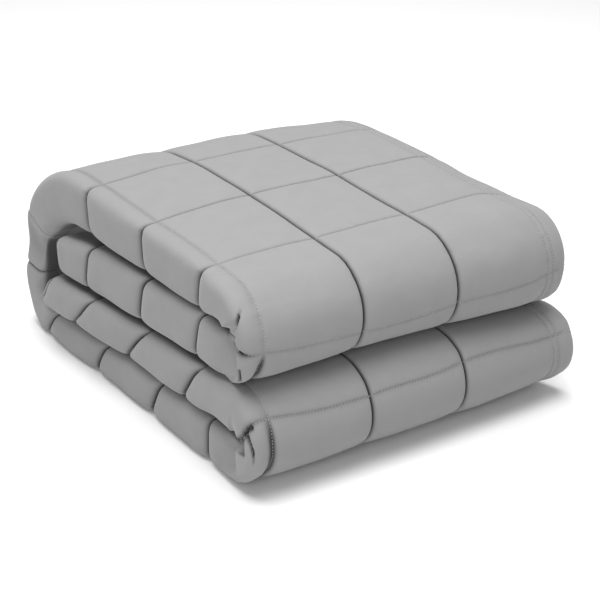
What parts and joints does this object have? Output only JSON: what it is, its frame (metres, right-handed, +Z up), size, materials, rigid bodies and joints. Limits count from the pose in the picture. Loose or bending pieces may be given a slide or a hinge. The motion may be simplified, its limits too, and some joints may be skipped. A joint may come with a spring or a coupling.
{
  "type": "weighted blanket",
  "caption": "Weighted blanket quilted in squares, folded into a thick stack with two rounded rolls at the front and one spine at the back.",
  "frame": {"origin": "on the surface the blanket rests on, under the middle of its bounding box", "axes": "+X along the rolled folds towards the strip's right edge, +Y from the two front rolls to the spine at the back, +Z up"},
  "size_m": [0.4456, 0.5364, 0.242],
  "materials": {
    "blanket": "smooth matt grey microfibre, lightly brushed"
  },
  "bodies": {
    "root": {"blanket": "blanket"}
  },
  "joints": []
}
